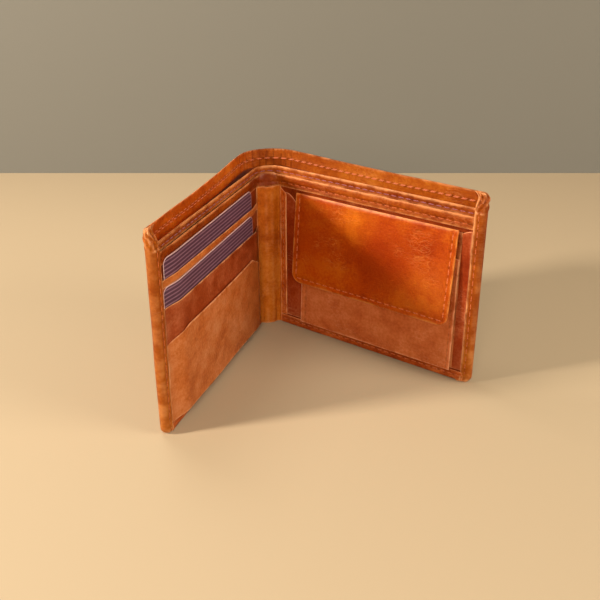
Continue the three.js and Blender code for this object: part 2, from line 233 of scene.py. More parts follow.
def pucker(a, distance, run, depth=0.12, width=0.9):
    """The small hollows at the holes of a seam that runs from run[0] to run[1]."""
    stitch = (a - run[0]) / (run[1] - run[0]) * max(1, round((run[1] - run[0]) / PITCH))
    return depth * math.exp(-((distance / width) ** 2)) * (0.5 + 0.5 * math.cos(2 * math.pi * stitch))


def seam_shade(a, distance, run):
    """Painted shade in a seam, most of it in the holes and the rest along its groove. It is counted below
    nought in the layer of pale edges and painted shade.
    """
    return -pucker(a, distance, run, 0.4, 0.5) - groove(distance, 0.12, 0.5)


def waver(u, z, size, amount, seed=0):
    """A slow unevenness of the leather, in millimetres."""
    return amount * noise.noise(Vector((u / size, z / size, seed)))


def tint(red, green, blue):
    """A colour as it looks on paper, 0 to 255, in the shader's own numbers."""
    channels = [c / 255 / 12.92 if c <= 10 else ((c / 255 + 0.055) / 1.055) ** 2.4
                for c in (red, green, blue)]
    return (*channels, 1)


class Value:
    """A shader socket. Sums and products on it add Math nodes."""

    def __init__(self, paint, socket):
        self.paint, self.socket = paint, socket

    def maths(self, operation, first, second):
        return self.paint.node("Math", {"operation": operation}, {0: first, 1: second})

    def __add__(self, other):
        return self.maths("ADD", self, other)

    __radd__ = __add__

    def __sub__(self, other):
        return self.maths("SUBTRACT", self, other)

    def __rsub__(self, other):
        return self.maths("SUBTRACT", other, self)

    def __mul__(self, other):
        return self.maths("MULTIPLY", self, other)

    __rmul__ = __mul__

    def above(self, low, high):
        """0 where the value is low, 1 where it is high."""
        inputs = {"Value": self, "From Min": low, "From Max": high}
        return self.paint.node("MapRange", {"interpolation_type": "SMOOTHSTEP", "clamp": True}, inputs)


class Paint:
    """The nodes of one finish."""

    def __init__(self, name, **shine):
        self.material = bpy.data.materials.new(name)
        self.material.use_nodes = True
        self.tree = self.material.node_tree
        self.shader = self.tree.nodes["Principled BSDF"]
        for socket, amount in shine.items():
            self.shader.inputs[socket.replace("_", " ")].default_value = amount

    def feed(self, socket, thing):
        if isinstance(thing, Value):
            self.tree.links.new(thing.socket, socket)
        else:
            socket.default_value = thing

    def node(self, kind, settings=None, inputs=None, output=0):
        made = self.tree.nodes.new("ShaderNode" + kind)
        for key, setting in (settings or {}).items():
            setattr(made, key, setting)
        for key, thing in (inputs or {}).items():
            self.feed(made.inputs[key], thing)
        return Value(self, made.outputs[output])

    def blend(self, one, other, share):
        return self.node("Mix", {"data_type": "RGBA"}, {0: share, 6: one, 7: other}, 2)

    def noise(self, where, scale, detail=3, roughness=0.55):
        inputs = {"Vector": where, "Scale": scale, "Detail": detail, "Roughness": roughness}
        return self.node("TexNoise", {}, inputs)

    def uv(self):
        return self.node("UVMap", {"uv_map": "UVMap"})

    def wear_light_shade(self):
        """How pale the surface is painted, from 0 to 1, for pull-up paling and painted highlights, or how
        dark, down to -1, for painted shade.
        """
        return self.node("Attribute", {"attribute_name": "wear_light_shade"}, {}, 2)

    def flat_place(self, seed=0):
        """The place on the flat hide, in metres, with the piece's own seed so that no two look alike."""
        inputs = {"Vector": self.uv(), "Scale": (0.1, 0.1, 0.1),
                  "Location": (seed * 0.37, seed * 0.23, seed)}
        return self.node("Mapping", {}, inputs)

    def finish(self, colour, roughness, height=None, strength=0.3, distance=0.0004):
        self.feed(self.shader.inputs["Base Color"], colour)
        self.feed(self.shader.inputs["Roughness"], roughness)
        if height is not None:
            settings = {"Height": height, "Strength": strength, "Distance": distance}
            self.feed(self.shader.inputs["Normal"], self.node("Bump", {}, settings))
        return self.material


def oiled_leather(name, dark, middle, light, edge, seed, rough=0.4, grain=0.35, creases=0.15, patches=()):
    """Waxed pull-up cowhide: cloudy, darker where it is full of oil and paler where it bends or rubs. The
    pale edges are partly a painted highlight, and marks below nought are darkened as painted shade.
    patches are clouds that belong to one piece: where on it, how wide, their colour and how much of it."""
    dark, middle, light, edge = (tint(*shade) for shade in (dark, middle, light, edge))
    paint = Paint(name, Coat_Weight=0.15, Coat_Roughness=0.25, Specular_IOR_Level=0.34)
    paint.shader.inputs["Specular Tint"].default_value = tint(255, 200, 150)
    where = paint.flat_place(seed)
    cloud = paint.noise(where, 30, 2, 0.5)
    mottle = paint.noise(where, 150, 3, 0.55)
    speck = paint.noise(where, 800, 3, 0.6)
    depth = (cloud * 0.44 + mottle * 0.32 + speck * 0.24).above(0.32, 0.68)
    colour = paint.blend(dark, middle, depth.above(0.0, 0.6))
    colour = paint.blend(colour, light, depth.above(0.45, 1.0))
    slanted = paint.node("Mapping", {}, {"Vector": where, "Rotation": (0, 0, 0.5), "Scale": (1, 2.1, 1)})
    crease = 0
    for scale, width in ((150, 0.03), (320, 0.05)):
        winding = paint.noise(slanted, scale, 1, 0.4) - 0.5
        line = 1 - winding.maths("ABSOLUTE", winding, 0).above(0.0, width)
        crease = crease + line * paint.noise(where, 48, 2).above(0.5, 0.64)
    colour = paint.blend(colour, edge, crease * creases)
    for place, size, shade, amount in patches:
        centre = (place[0] / 100, place[1] / 100, 0)
        offset = paint.node("VectorMath", {"operation": "DISTANCE"}, {0: paint.uv(), 1: centre}, 1)
        glow = (1 - offset.above(0.0, size / 100)) * (0.4 + mottle.above(0.3, 0.62) * 0.6)
        colour = paint.blend(colour, shade, glow * amount)
    rub_light_shade = paint.wear_light_shade()
    patchy = 0.5 + mottle.above(0.36, 0.62) * 0.75
    # Pale edges and streaks: pull-up paling and a painted highlight.
    colour = paint.blend(colour, edge, (rub_light_shade * patchy).above(0.08, 1.1) * 0.78)
    # Painted shade where the layer is below nought: seam holes, grooves and fold hollows.
    painted_shade = tuple(0.4 * channel for channel in dark[:3]) + (1,)
    colour = paint.blend(colour, painted_shade, rub_light_shade.above(-0.05, -0.9) * 0.85)
    pores = paint.node("TexVoronoi", {"feature": "SMOOTH_F1"},
                       {"Vector": where, "Scale": 1400.0, "Smoothness": 0.6})
    height = pores * 0.4 + speck * 0.5 + mottle * 0.8 - crease * 0.3
    return paint.finish(colour, rough + mottle * 0.16 - rub_light_shade * 0.05, height, grain, 0.0005)


# Its pale edge colour is partly pull-up paling and partly a painted highlight on the rims.
cover_leather = oiled_leather("cover_leather", (148, 60, 5), (174, 84, 12), (194, 110, 28), (238, 168, 106),
                              seed=1, creases=0.07)


def waxed_thread(name, dark, light, rough):
    """Thread of two twisted plies."""
    paint = Paint(name, Specular_IOR_Level=0.3, Sheen_Weight=0.2)
    twist = paint.node("TexWave", {"bands_direction": "DIAGONAL"}, {"Vector": paint.uv(), "Scale": 2.2})
    return paint.finish(paint.blend(dark, light, twist), rough, twist, 0.4, 0.0002)


orange_thread = waxed_thread("orange_thread", tint(168, 66, 12), tint(200, 102, 34), 0.55)


def sewn(piece, material, body=None, nodes=()):
    """Finishes a piece: its material, the body it rides on and the frame parts it replaces."""
    piece.data.materials.append(material)
    if body:
        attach(piece, body)
    if nodes:
        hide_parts(*nodes)
    return piece


def bends(piece, leaf, reach):
    """Bakes the piece's placement into its mesh. It is not bent over the fold and does not move with
    the leaf; leaf and reach change nothing.
    """
    leaf.at(reach, 0, 0)
    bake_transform(piece)


def round_spine(leaf, s, t, z):
    """A point s along a layer that starts in the middle of the round spine and goes on along the leaf."""
    if s >= SPINE_RUN:
        return leaf.at(START + s - SPINE_RUN, t, z)
    angle = s / SPINE_RUN * TURN
    centre = leaf.at(START, 0, 0) - leaf.out * REACH * MM
    centre.x = 0
    outward = Vector((leaf.side * math.sin(angle), math.cos(angle), 0))
    return centre + (outward * (REACH + t) + Vector((0, 0, z))) * MM


def lean(u, z):
    """How far the cover leans out at a height."""
    return mix(FLARE, 0.4, max(0, u - START) / (LEAF - START)) * z / HEIGHT


ROLL = 1.72
ROLL_START = LEAF - ROLL - BORDER / 2
BORDER_END = LEAF - 4.6
BACK_MIDDLE = COVER_BACK - COVER / 2
FRONT_MIDDLE = BORDER_FRONT + BORDER / 2
BACK_RUN = SPINE_RUN + ROLL_START - START
ROLL_RUN = math.pi * (ROLL + 1.7) / 2
COVER_RUN = BACK_RUN + ROLL_RUN + ROLL_START - BORDER_END
BORDER_LINE = BACK_RUN + ROLL_RUN + ROLL_START - (LEAF - 2.6)
CAP_FOOT = 77.2
HEM_ROW, BORDER_ROW = (0, BACK_RUN - 4), (3, 77)


def corner_folds(s, z):
    """The pleats of the border's two corners, which spread from where its leather is turned in."""
    top = ease(s, BACK_RUN - 3, BACK_RUN + 1) * ease(z, HEIGHT - 9, HEIGHT - 5)
    foot = ease(s, BACK_RUN + 0.3 * ROLL_RUN, BACK_RUN + ROLL_RUN) * (1 - ease(z, 3, 7))
    fan = math.sin(2.9 * (s - BACK_RUN) + 1.3 * z) + 0.5 * math.sin(5.1 * s - 0.7 * z)
    return 0.26 * top * fan + 0.26 * foot * math.sin(2.4 * (s - BACK_RUN) - 1.9 * z)


def border_front(u, z, roof=79):
    """The middle of the rolled border's front leather, which slants back to the cover at its top."""
    eaves = roof + 3.4 * ease(u, BORDER_END, LEAF)
    share = max(0, (z - eaves) / (HEIGHT - eaves)) ** 1.15
    return mix(FRONT_MIDDLE, BACK_MIDDLE + lean(LEAF, z) - 1, share)


def cover_point(leaf, s, n, z):
    """A point of the cover: s along it from the middle of the spine round to the border's lip, n out of
    its middle."""
    near_end = min(z, HEIGHT - z)
    corner = CORNER - math.sqrt(CORNER ** 2 - (CORNER - min(near_end, CORNER)) ** 2)
    shrink = 1 - corner / (LEAF - START)
    n += corner_folds(s, z)
    under_cap = ease(z, CAP_FOOT, CAP_FOOT + 0.5)
    n -= 0.4 * ease(s, BACK_RUN + 0.5 * ROLL_RUN, BACK_RUN + 0.9 * ROLL_RUN) * under_cap
    if s <= BACK_RUN:
        u = START + (s - SPINE_RUN)
        bow = 0.9 * math.sin(math.pi * ease(u, START, LEAF)) * ease(z, 20, HEIGHT)
        bow += waver(s, z, 26, 0.35, 3)
        squeezed = s if s < SPINE_RUN else SPINE_RUN + (s - SPINE_RUN) * shrink
        return round_spine(leaf, squeezed, BACK_MIDDLE + lean(u, z) + n - bow * ease(u, 0, 20), z)
    back = BACK_MIDDLE + lean(ROLL_START, z) - waver(BACK_RUN, z, 26, -0.35, 3)
    front = border_front(ROLL_START, z)
    if s <= BACK_RUN + ROLL_RUN:
        angle = math.pi / 2 - (s - BACK_RUN) / ROLL_RUN * math.pi
        u = ROLL_START + (ROLL + n) * math.cos(angle)
        t = (back + front) / 2 + ((back - front) / 2 + n) * math.sin(angle)
    else:
        u = ROLL_START - (s - BACK_RUN - ROLL_RUN)
        t = border_front(u, z) - n - 0.12 * ease(u, ROLL_START, BORDER_END + 1)
    return leaf.at(START + (u - START) * shrink, t, z)


def gathers(s, z):
    """The upright gathers of the cover's top round the spine."""
    folds = 0.15 * math.sin(s * 3.9) + 0.12 * math.sin(s * 2.3 + 1)
    folds += 0.2 * noise.noise(Vector((s * 1.3, z / 14, 7)))
    return folds * ease(z, HEIGHT - 17, HEIGHT - 7) * (1 - ease(s, 9, 26))


def cover_half(leaf):
    """Half of the cover from s = 0, in the middle of the spine. t runs from its outside in."""
    def outside(s, z):
        thick = mix(COVER, BORDER, ease(s, BACK_RUN - 4, BACK_RUN + 1)) / 2
        dent = groove(z - HEM_LINE, 0.12) * (1 - ease(s, BACK_RUN - 3, BACK_RUN)) + gathers(s, z) * 0.4
        dent += groove(s - BORDER_LINE, 0.16, 0.6) + pucker(z, s - BORDER_LINE, BORDER_ROW, 0.1)
        return -(thick - dent)

    def inside(s, z):
        thick = mix(COVER, BORDER, ease(s, BACK_RUN - 4, BACK_RUN + 1)) / 2
        hem = ease(z, LEDGE - 0.2, LEDGE + 0.4) * (1 - ease(s, BACK_RUN - 6, BACK_RUN - 3))
        dent = groove(z - HEM_LINE, 0.22) + pucker(s, z - HEM_LINE, HEM_ROW)
        return thick + gathers(s, z) + hem * (HEM - dent)

    def wear_light_shade(s, z):
        # The rolled border is painted paler, most near its foot: pull-up paling of the bent leather and a
        # painted highlight.
        on_border = ease(s, BACK_RUN, BACK_RUN + 2) * (1 - ease(s, BACK_RUN + 4, BACK_RUN + 6))
        border = (0.42 - 0.16 * ease(z, 10, 70)) * on_border
        # A pale line where the corner cap is turned in: pull-up paling and a painted highlight.
        at_front = ease(s, BACK_RUN + 0.6 * ROLL_RUN, BACK_RUN + ROLL_RUN)
        cap = 0.9 * at_front * groove(z - CAP_FOOT + 0.2, 1, 0.35)
        # Painted shade in the hem and border seams, most of it in the holes.
        seams = seam_shade(s, z - HEM_LINE, HEM_ROW) * (s < HEM_ROW[1]) + seam_shade(z, s - BORDER_LINE, BORDER_ROW)
        # The pleats are painted paler on one side and darker on the other, and the gathers darker in their
        # hollows: painted light and shade.
        return border + cap + seams + 1.2 * corner_folds(s, z) + min(0, 2.4 * gathers(s, z))

    # n is measured outwards, so the sheet's t is turned round
    place = lambda s, t, z: cover_point(leaf, s, -t, z)
    across = [i * 0.4 for i in range(75)] + spaced(30, BACK_RUN - 4, 0.9, (0,))
    across += spaced(BACK_RUN - 3.6, COVER_RUN, 0.3, (0, 0.2))
    up = spaced(0, LEDGE - 1, 1.2, (0, 0.1, 0.3, 0.6))
    up += spaced(LEDGE - 0.5, HEIGHT, 0.32, (0, 0.08, 0.25, 0.5))
    # The cover's wide pale rims, along its top edge most of all, are partly pull-up paling and partly a
    # painted highlight.
    return sheet(f"cover_hide_{leaf.body[5:]}", place, across, up, 0, HEIGHT, outside, inside,
                 rim=0.7, joined=True, worn_lit_width=1.0, wear_light_shade=wear_light_shade, side=leaf.side)


BLEND_END = 12
for leaf, ends in HALVES:
    name = ends[0]
    cover = sewn(cover_half(leaf), cover_leather, nodes=[f"cover_{end}" for end in ends])
    bends(cover, leaf, BLEND_END)
    hem_faces = (("inside", -COVER / 2 - HEM + 0.22, -1), ("outside", COVER / 2 - 0.12, 1))
    for side_name, depth, way in hem_faces:
        def hem_row(s, leaf=leaf, depth=depth, way=way):
            outward = cover_point(leaf, s, way, HEM_LINE) - cover_point(leaf, s, 0, HEM_LINE)
            return cover_point(leaf, s, depth, HEM_LINE), outward

        stitches = seam(f"cover_hem_seam_{side_name}_{name}", hem_row, HEM_ROW, 0.17)
        hem_seam = sewn(stitches, orange_thread)
        bends(hem_seam, leaf, BLEND_END)

    def border_row(z, leaf=leaf):
        outward = cover_point(leaf, BORDER_LINE, 1, z) - cover_point(leaf, BORDER_LINE, 0, z)
        return cover_point(leaf, BORDER_LINE, BORDER / 2 - 0.16, z), outward

    stitches = seam(f"border_seam_{name}", border_row, BORDER_ROW, 0.2)
    sewn(stitches, orange_thread, leaf.body)

# The lining of the note compartment is brown-red cloth glued inside the cover, up to the hem.
# It follows the cover round the spine, so it is cut in the same two halves.
LINING = 0.3
cloth_low, cloth_high = right.span("bill_lining_right")[2]


def twill(name, base, thread, seed):
    """A close twill of dull threads."""
    paint = Paint(name, Sheen_Weight=0.1, Sheen_Roughness=0.5)
    paint.shader.inputs["Specular IOR Level"].default_value = 0.2
    where = paint.flat_place(seed)
    weft = {"Vector": where, "Scale": 900.0, "Distortion": 0.6}
    warp = {"Vector": where, "Scale": 1100.0, "Distortion": 0.4}
    weave = paint.node("TexWave", {"bands_direction": "DIAGONAL"}, weft)
    cross = paint.node("TexWave", {"bands_direction": "X"}, warp)
    cloud = paint.noise(where, 60)
    colour = paint.blend(base, thread, weave * 0.5 + cross * 0.2 + cloud * 0.3)
    return paint.finish(colour, 0.78 + cloud * 0.15, weave * cross, 0.35, 0.0003)


lining_cloth = twill("lining_cloth", tint(124, 44, 14), tint(158, 74, 32), 4)
for leaf, ends in HALVES:
    name = ends[0]
    place = lambda s, t, z, leaf=leaf: cover_point(leaf, s, -t, z)
    across = spaced(0, BACK_RUN - 2.5, 0.9)
    lining = sheet(f"note_lining_{name}", place, across, spaced(cloth_low, cloth_high, 2.4),
                   cloth_low, cloth_high, COVER / 2 + 0.03, COVER / 2 + LINING, rim=0.15, joined=True)
    sewn(lining, lining_cloth, nodes=[f"bill_lining_{end}" for end in ends])
    (BACK_RUN - 2.5) * MM
    (cloth_high - cloth_low) * MM
    bends(lining, leaf, BLEND_END)

# The divider of the note compartment is the same cloth with a leather binding folded over its top edge and
# sewn through. It crosses the spine between the cover and the inner panels.
(_, _), (DIVIDER_FRONT, DIVIDER_BACK), (divider_low, _) = right.span("divider_right")
binding_span = right.span("divider_binding_right")
(_, INNER_END), (BINDING_FRONT, BINDING_BACK), (binding_low, binding_high) = binding_span
INNER_RUN = HALF_SPINE + INNER_END
divider_top = binding_low + 2


def crossing(leaf, s, t, z, bulge):
    """A point of an inner layer: s from the middle of the spine, which bulges back, over the fold and on
    along the leaf."""
    total = Vector((0, 0, 0))
    softness = [-1.2, -0.6, 0, 0.6, 1.2]
    for shift in softness:
        a = s + shift
        if a >= HALF_SPINE:
            total += leaf.at(a - HALF_SPINE, t, z)
        else:
            across_spine = Vector((leaf.side * a, t + bulge * (1 - (a / HALF_SPINE) ** 2), z)) * MM
            total += spine_middle + across_spine
    return total / len(softness)


def divider_bulge(z):
    return mix(0.2, 1.7, ease(z, 0, HEIGHT))


deep_leather = oiled_leather("deep_leather", (128, 40, 8), (158, 60, 16), (184, 86, 34), (222, 140, 82),
                             seed=5, grain=0.3)
binding_leather = oiled_leather("binding_leather", (132, 46, 8), (166, 74, 18), (194, 102, 34),
                                (240, 164, 98), seed=7)
lilac_thread = waxed_thread("lilac_thread", tint(112, 46, 52), tint(150, 84, 86), 0.6)
INNER_BLEND = 6
SPINE_STEPS = [i * 0.5 for i in range(24)]
seam_z = binding_low + 1.9
binding_row = (0, INNER_RUN - 4)


def binding_sway(s, z):
    return waver(s, 0, 30, 0.25, 11) * ease(z, 70, 78)


def binding_face(s, z):
    dent = groove(z - seam_z, 0.14, 0.5) + pucker(s, z - seam_z, binding_row)
    return BINDING_FRONT - 0.12 + binding_sway(s, z) + dent


def binding_rear(s, z):
    return BINDING_BACK + 0.05 + binding_sway(s, z) - groove(z - seam_z, 0.1, 0.5)


for leaf, ends in HALVES:
    name = ends[0]
    place = lambda s, t, z, leaf=leaf: crossing(leaf, s, t, z, divider_bulge(z))
    across = SPINE_STEPS + spaced(12, INNER_RUN, 1.4, (0, 0.2))
    divider = sheet(f"divider_cloth_{name}", place, across, spaced(divider_low, divider_top, 2.2),
                    divider_low, divider_top, DIVIDER_FRONT, DIVIDER_BACK, rim=0.15, joined=True)
    sewn(divider, lining_cloth, nodes=[f"divider_{end}" for end in ends])
    INNER_RUN * MM
    (divider_top - divider_low) * MM
    bends(divider, leaf, INNER_BLEND)
    across = SPINE_STEPS + spaced(12, INNER_RUN, 0.6, (0, 0.2))
    up = spaced(binding_low, binding_high, 0.32, FINE_EDGE)
    # The binding is darkened in its seam's holes and groove: painted shade.
    binding = sheet(f"binding_leather_{name}", place, across, up, binding_low, binding_high,
                    binding_face, binding_rear, rim=0.5, joined=True, worn_lit_width=1.1,
                    wear_light_shade=lambda s, z: seam_shade(s, z - seam_z, binding_row), side=leaf.side)
    sewn(binding, binding_leather, nodes=[f"divider_binding_{end}" for end in ends])
    bends(binding, leaf, INNER_BLEND)
    row = lambda s, leaf=leaf: (crossing(leaf, s, BINDING_FRONT, seam_z, divider_bulge(seam_z)), -leaf.out)
    binding_seam = sewn(seam(f"binding_seam_{name}", row, binding_row, 0.22), lilac_thread)
    bends(binding_seam, leaf, INNER_BLEND)

# An inner panel on each leaf carries the pockets. A band of leather is folded over the panels' top edge and
# sewn, and goes on over the spine from leaf to leaf.
(_, BAND_END), (BAND_FRONT, BAND_BACK), (band_low, band_high) = right.span("top_band_right")
BAND_RUN = HALF_SPINE + BAND_END
BAND_FOOT = band_low - 0.6
BAND_SEAM = band_low + 1.5
BAND_ROW = (7, BAND_RUN - 2)
pocket_ends = left.span("card_pocket_upper")[0]
for name, leaf in leaves.items():
    (u0, u1), (t0, t1), (z0, z1) = leaf.span(f"inner_panel_{name}")
    panel = sheet(f"inner_panel_leather_{name}", leaf.at, spaced(u0, u1, 2.5), spaced(z0, z1, 2.5),
                  z0, z1, t0, t1)
    sewn(panel, deep_leather, leaf.body, [f"inner_panel_{name}"])

band_leather = oiled_leather("band_leather", (136, 44, 2), (164, 68, 8), (188, 94, 22), (238, 158, 92),
                             seed=9, grain=0.5)


def band_bulge(z):
    return mix(-0.7, 1.5, ease(z, band_low, band_high))


def pressed(u):
    """How thick the layers of the left leaf stand along it, as a share of their full thickness."""
    at_fold = mix(0.3, 1, ease(u, pocket_ends[0], pocket_ends[0] + 9))
    at_border = mix(0.33, 1, ease(pocket_ends[1] - u, 0, 12))
    return at_fold * at_border


# Painted shade in the band's seam holes and in the hollows of the gathers.
def band_shade(s, z):
    return seam_shade(s, z - BAND_SEAM, BAND_ROW) * (s > BAND_ROW[0]) + min(0, gathers(s, HEIGHT))


for leaf, ends in HALVES:
    name = ends[0]
    def place(s, t, z, leaf=leaf):
        arch = 0.7 * (1 - ease(s, 2, HALF_SPINE + 1)) * ease(z, band_low, band_high)
        return crossing(leaf, s, t, z + arch, band_bulge(z))

    def face(s, z, leaf=leaf):
        """The band's front, plump on the right leaf and pressed flat behind the cards on the left one."""
        swell = 0.22 * math.sin(math.pi * ease(z, band_low, band_high)) + waver(s, z, 5, 0.1, 13)
        behind_cards = 0 if leaf is right else ease(s, HALF_SPINE, HALF_SPINE + 5)
        dent = groove(z - BAND_SEAM, 0.3, 0.6) + pucker(s, z - BAND_SEAM, BAND_ROW, 0.16)
        flat = BAND_FRONT * pressed(s - HALF_SPINE)
        return mix(BAND_FRONT - swell, flat, behind_cards) + dent * (1 - behind_cards * 0.7)

    rear = lambda s, z: BAND_BACK + 0.05 + 0.1 * ease(z, band_high - 1.5, band_high)
    across = [i * 0.45 for i in range(24)] + spaced(10.8, BAND_RUN, 0.55, (0, 0.2))
    band = sheet(f"band_leather_{name}", place, across, spaced(BAND_FOOT, band_high, 0.32, FINE_EDGE),
                 BAND_FOOT, band_high, face, rear, rim=0.45, joined=True, worn_lit_width=0.9, wear_light_shade=band_shade,
                 side=leaf.side)
    sewn(band, band_leather, nodes=[f"top_band_{end}" for end in ends])
    bends(band, leaf, INNER_BLEND)
    sunk = 0.1 if leaf is right else 0.22

    def row(s, leaf=leaf, face=face, sunk=sunk):
        return crossing(leaf, s, face(s, BAND_SEAM) + sunk, BAND_SEAM, band_bulge(BAND_SEAM)), -leaf.out

    band_seam = sewn(seam(f"band_seam_{name}", row, BAND_ROW), orange_thread)
    bends(band_seam, leaf, INNER_BLEND)

# The spine strip is a smooth leather that covers the fold between the two inner panels. It bulges forward,
# and its edges are folded under beside the pockets. It is cut in two halves, one for each fold.
strip_low, strip_high = (corner.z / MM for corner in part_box("spine_strip"))
STRIP_BULGE = -1.7
STRIP_RUN = HALF_SPINE + 2.1
spine_leather = oiled_leather("spine_leather", (184, 76, 8), (214, 106, 20), (230, 130, 40),
                              (246, 176, 112), seed=12, creases=0.1, grain=0.2, rough=0.34)


def strip_face(s, z):
    """The strip's front, with an upright crease on each side and soft folds where its foot spreads."""
    foot = 1 - ease(z, 2, 20)
    folds = 0.4 * math.exp(-(((s - 3.4) / 0.7) ** 2)) - 0.25 * math.exp(-(((s - 5.2) / 0.8) ** 2))
    edge = 0.25 * math.exp(-(((s - STRIP_RUN + 1.1) / 0.4) ** 2))
    return -0.66 + folds * (0.25 + foot) + edge + waver(s, z, 12, 0.25, 15)


# A painted highlight as a pale upright streak near the middle of the spine, and painted shade in the crease
# beside the strip's folded edge.
def strip_light_and_shade(s, z):
    return groove(s - 1.4, 0.3, 1.2) - groove(s - STRIP_RUN + 1.1, 0.35, 0.4)


for name, leaf, nodes in (("right", right, ["spine_strip"]), ("left", left, [])):
    place = lambda s, t, z, leaf=leaf: crossing(leaf, s, t, z, STRIP_BULGE)
    strip = sheet(f"spine_strip_{name}", place, spaced(0, STRIP_RUN, 0.25, (0, 0.08, 0.2, 0.35)),
                  spaced(strip_low, strip_high, 0.9), strip_low, strip_high, strip_face, -0.08,
                  rim=0.3, joined=True, worn_lit_width=0.45, wear_light_shade=strip_light_and_shade, side=leaf.side)
    sewn(strip, spine_leather, nodes=nodes)
    bends(strip, leaf, INNER_BLEND)

# Each leaf's foot is the cover's lower edge turned up over the inner panel and sewn along.
# It starts beside the spine strip and ends under the corner of the border.
FOOT_SEAM = 2.4
FOOT_BEND = 0.8
(foot_start, _), _, _ = right.span("fold_side_strip")
foot_leather = oiled_leather("foot_leather", (152, 52, 8), (184, 78, 22), (206, 104, 42), (234, 152, 92),
                             seed=17, grain=0.4)
for name, leaf, foot_high in (("right", right, 4.5), ("left", left, 3.0)):
    flat_run = 2.4
    bend_run = FOOT_BEND * math.pi / 2
    foot_run = flat_run + bend_run + foot_high - FOOT_BEND

    def place(u, n, w, leaf=leaf, foot_run=foot_run):
        """w runs under the inner layers, round the bend and up the front, and n out of the leather."""
        front = BORDER_FRONT - 0.1
        if w < flat_run:
            return leaf.at(u, front + FOOT_BEND + flat_run - w, 0.5 - n)
        turned = min(1, (w - flat_run) / bend_run) * math.pi / 2
        t = front + FOOT_BEND - (FOOT_BEND + n - 0.3) * math.sin(turned)
        z = FOOT_BEND + 0.2 - (FOOT_BEND + n - 0.3) * math.cos(turned) + max(0, w - flat_run - bend_run)
        return leaf.at(u, t, z)

    seam_w = flat_run + bend_run + FOOT_SEAM - FOOT_BEND
    foot_row = (foot_start + 1, LEAF - 4)
    skin = lambda u, w: (-0.3 + groove(w - seam_w, 0.16, 0.5) + pucker(u, w - seam_w, foot_row)
                         + waver(u, w, 6, 0.08, 19))
    # The foot is darkened in its seam's holes and groove: painted shade.
    foot = sheet(f"foot_{name}", lambda u, n, w: place(u, -n, w), spaced(foot_start, LEAF - 3.2, 0.6),
                 spaced(0, foot_run, 0.3), 0, foot_run, skin, 0.3, rim=0.3, worn_lit_width=0.6,
                 wear_light_shade=lambda u, w: seam_shade(u, w - seam_w, foot_row))
    sewn(foot, foot_leather, leaf.body)
    if name == "right":
        row = lambda u: (place(u, 0.2, seam_w), -right.out)
        sewn(seam("foot_seam_right", row, foot_row, 0.2), orange_thread, leaf.body)

# The left leaf has two card slots. Each slot is a skived leather pocket with a smooth trim folded over its
# mouth, and holds one card. The pockets are sewn in at both ends, where the stack is pressed thin.


def stacked(u, t, z):
    return left.at(u, t * pressed(u), z)


trim_leather = oiled_leather("trim_leather", (176, 80, 24), (204, 108, 44), (222, 134, 66), (240, 176, 116),
                             seed=21, creases=0.05, grain=0.15, rough=0.36)
pocket_leather = oiled_leather("pocket_leather", (146, 50, 10), (174, 76, 32), (198, 108, 64),
                               (244, 182, 124), seed=22, creases=0.05, grain=0.15, rough=0.24)
for name in ("upper", "lower"):
    (u0, u1), (t0, t1), (z0, z1) = left.span(f"card_pocket_{name}")
    _, _, (trim_low, trim_high) = left.span(f"card_pocket_{name}_trim")
    across = spaced(u0, u1, 1.2)
    tilt = lambda u: 1.1 * (u - u0) / (u1 - u0) - 0.5
    # The upper mouth has its trim in front. The lower leather covers its trim and has a pale edge itself,
    # partly pull-up paling and partly a painted highlight.
    covered = name == "lower"
    pocket_top = trim_high if covered else z1 + 0.15
    rim, worn_lit_width = (0.2, 0.45) if covered else (0.05, 0.05)
    pocket = sheet(f"card_pocket_{name}_leather", stacked, across, spaced(z0, pocket_top, 1.2), z0,
                   lambda u: pocket_top + tilt(u), t0, t1, rim=rim, worn_lit_width=worn_lit_width)
    sewn(pocket, pocket_leather, left.body, [f"card_pocket_{name}"])
    trim_front = t0 + 0.1 if covered else t0
    plump, tucked = (0, 0.15) if covered else (0.15, 0)
    swell = lambda u, z: trim_front - plump * math.sin(math.pi * ease(z, trim_low - 0.5, trim_high))
    trim = sheet(f"card_pocket_{name}_mouth", stacked, across, spaced(trim_low, trim_high, 0.35, FINE_EDGE),
                 lambda u: trim_low + tilt(u) - 0.15, lambda u: trim_high + tilt(u) - tucked, swell, t1,
                 rim=0.3, worn_lit_width=0.4)
    sewn(trim, trim_leather, left.body, [f"card_pocket_{name}_trim"])

# Two plastic cards stand in the slots, plum with pale lines across them and a pale cut edge.
# They are rigid, and slide up out of their slots.
CARD_CORNER = 3.18
LINE_PITCH = 1.55
paint = Paint("card_face", Specular_IOR_Level=0.4, Coat_Weight=0.15)
flat = paint.node("SeparateXYZ", {}, {"Vector": paint.uv()}, 1)
wave = paint.node("Math", {"operation": "SINE"}, {0: flat * (2 * math.pi * 100 / LINE_PITCH)})
fibre = paint.noise(paint.flat_place(3), 260, 3)
line = wave.above(0.15, 0.8) * (0.55 + fibre * 0.6)
rub_light_shade = paint.wear_light_shade()
colour = paint.blend(paint.blend(tint(78, 40, 58), tint(104, 60, 78), fibre), tint(166, 124, 138), line)
colour = paint.blend(colour, tint(236, 196, 188), rub_light_shade.above(0.2, 0.8))
card_face = paint.finish(colour, 0.5 + fibre * 0.15, fibre * 0.5 + wave * 0.3, 0.2, 0.0002)
